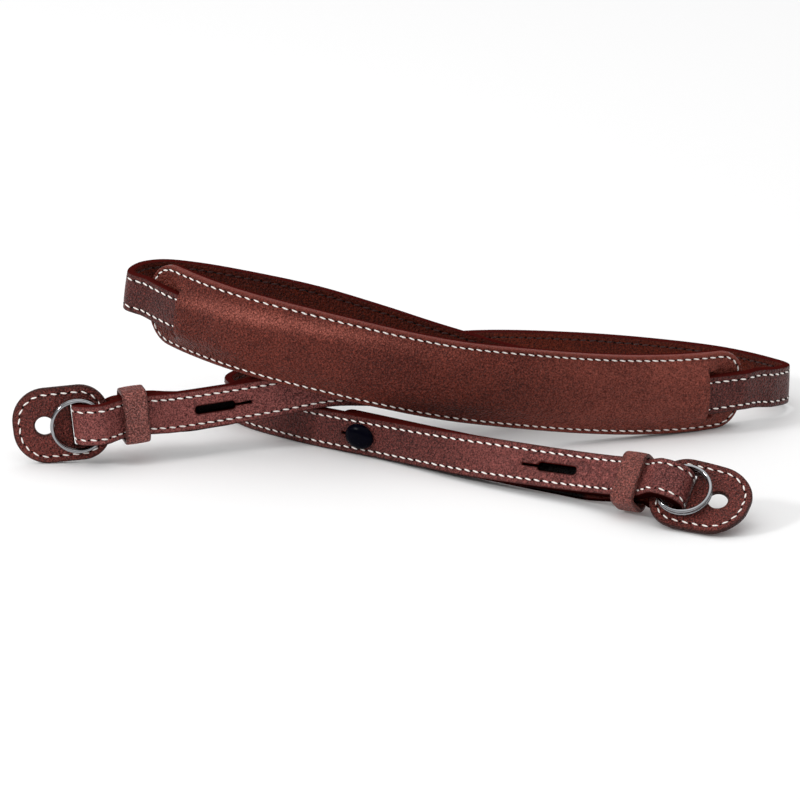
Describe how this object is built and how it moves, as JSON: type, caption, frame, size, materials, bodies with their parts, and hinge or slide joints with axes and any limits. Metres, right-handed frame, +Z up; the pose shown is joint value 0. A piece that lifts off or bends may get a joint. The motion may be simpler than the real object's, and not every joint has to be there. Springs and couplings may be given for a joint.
{
  "type": "camera neck strap",
  "caption": "Slim stitched leather camera strap with a curved shoulder pad, coiled on its edge, with round leather tabs, split rings, keepers and button studs at both ends.",
  "frame": {"origin": "middle of the underside of the bounding box, on the surface that the coil rests on", "axes": "+X to the right along the coil's longest extent, -Y to the front where both ring ends are, +Z up across the strap's width"},
  "size_m": [0.2168, 0.1296, 0.0493],
  "materials": {
    "leather": "satin",
    "lining": "matte",
    "steel": "polished",
    "stud": "gloss"
  },
  "bodies": {
    "root": {"pad_base": "lining", "pad_cover": "leather", "strap_left": "leather", "keeper_left": "leather", "stud_left": "stud", "tab_left": "leather", "ring_left": "steel", "strap_right": "leather", "keeper_right": "leather", "stud_right": "stud", "tab_right": "leather", "ring_right": "steel"}
  },
  "joints": []
}
